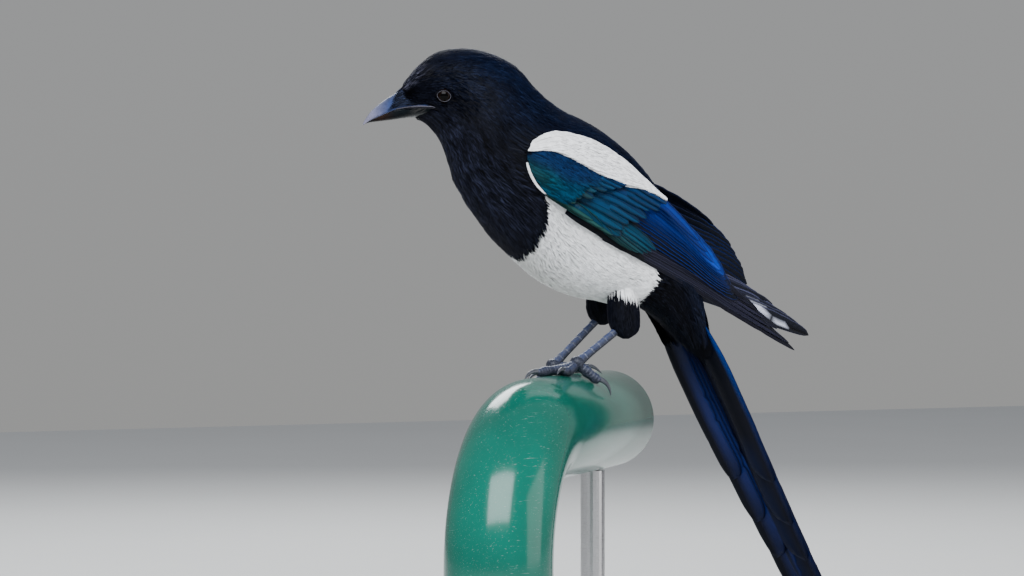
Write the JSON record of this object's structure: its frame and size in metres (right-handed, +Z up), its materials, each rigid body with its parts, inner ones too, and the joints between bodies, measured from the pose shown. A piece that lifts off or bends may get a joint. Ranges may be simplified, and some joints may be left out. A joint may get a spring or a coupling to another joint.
{
  "type": "eurasian magpie display model",
  "caption": "Still life-size Eurasian magpie gripping a short cut length of bent green tube rail, on a plain display stand with a flat base and rods.",
  "frame": {"origin": "middle of the base board's underside, on the floor", "axes": "+Z up, the bird heads along -X, its left side faces -Y"},
  "size_m": [0.3468, 0.329, 0.3287],
  "materials": {
    "plumage": "black feathers with a faint blue sheen, white scapulars, belly and primary centres",
    "flight_feathers": "glossy blue to teal wing and tail feathers",
    "bill": "black horn, satin gloss",
    "eye": "dark glossy eye",
    "legs": "blue grey scales",
    "rail_paint": "green gloss paint, finely scratched",
    "base_board": "pale matt paint",
    "rods": "brushed"
  },
  "bodies": {
    "root": {"head": "plumage", "neck": "plumage", "torso": "plumage", "thigh_left": "plumage", "thigh_right": "plumage", "wing_left": "flight_feathers", "wing_right": "flight_feathers", "tail": "flight_feathers", "bill_upper": "bill", "bill_lower": "bill", "eye_left": "eye", "eye_right": "eye", "tarsus_left": "legs", "tarsus_right": "legs", "foot_left": "legs", "foot_right": "legs", "claw_left_inner": "bill", "claw_left_middle": "bill", "claw_left_outer": "bill", "claw_left_hind": "bill", "claw_right_inner": "bill", "claw_right_middle": "bill", "claw_right_outer": "bill", "claw_right_hind": "bill", "perch_rail": "rail_paint", "stand_base": "base_board", "stand_rod_front": "rods", "stand_rod_back": "rods"}
  },
  "joints": []
}
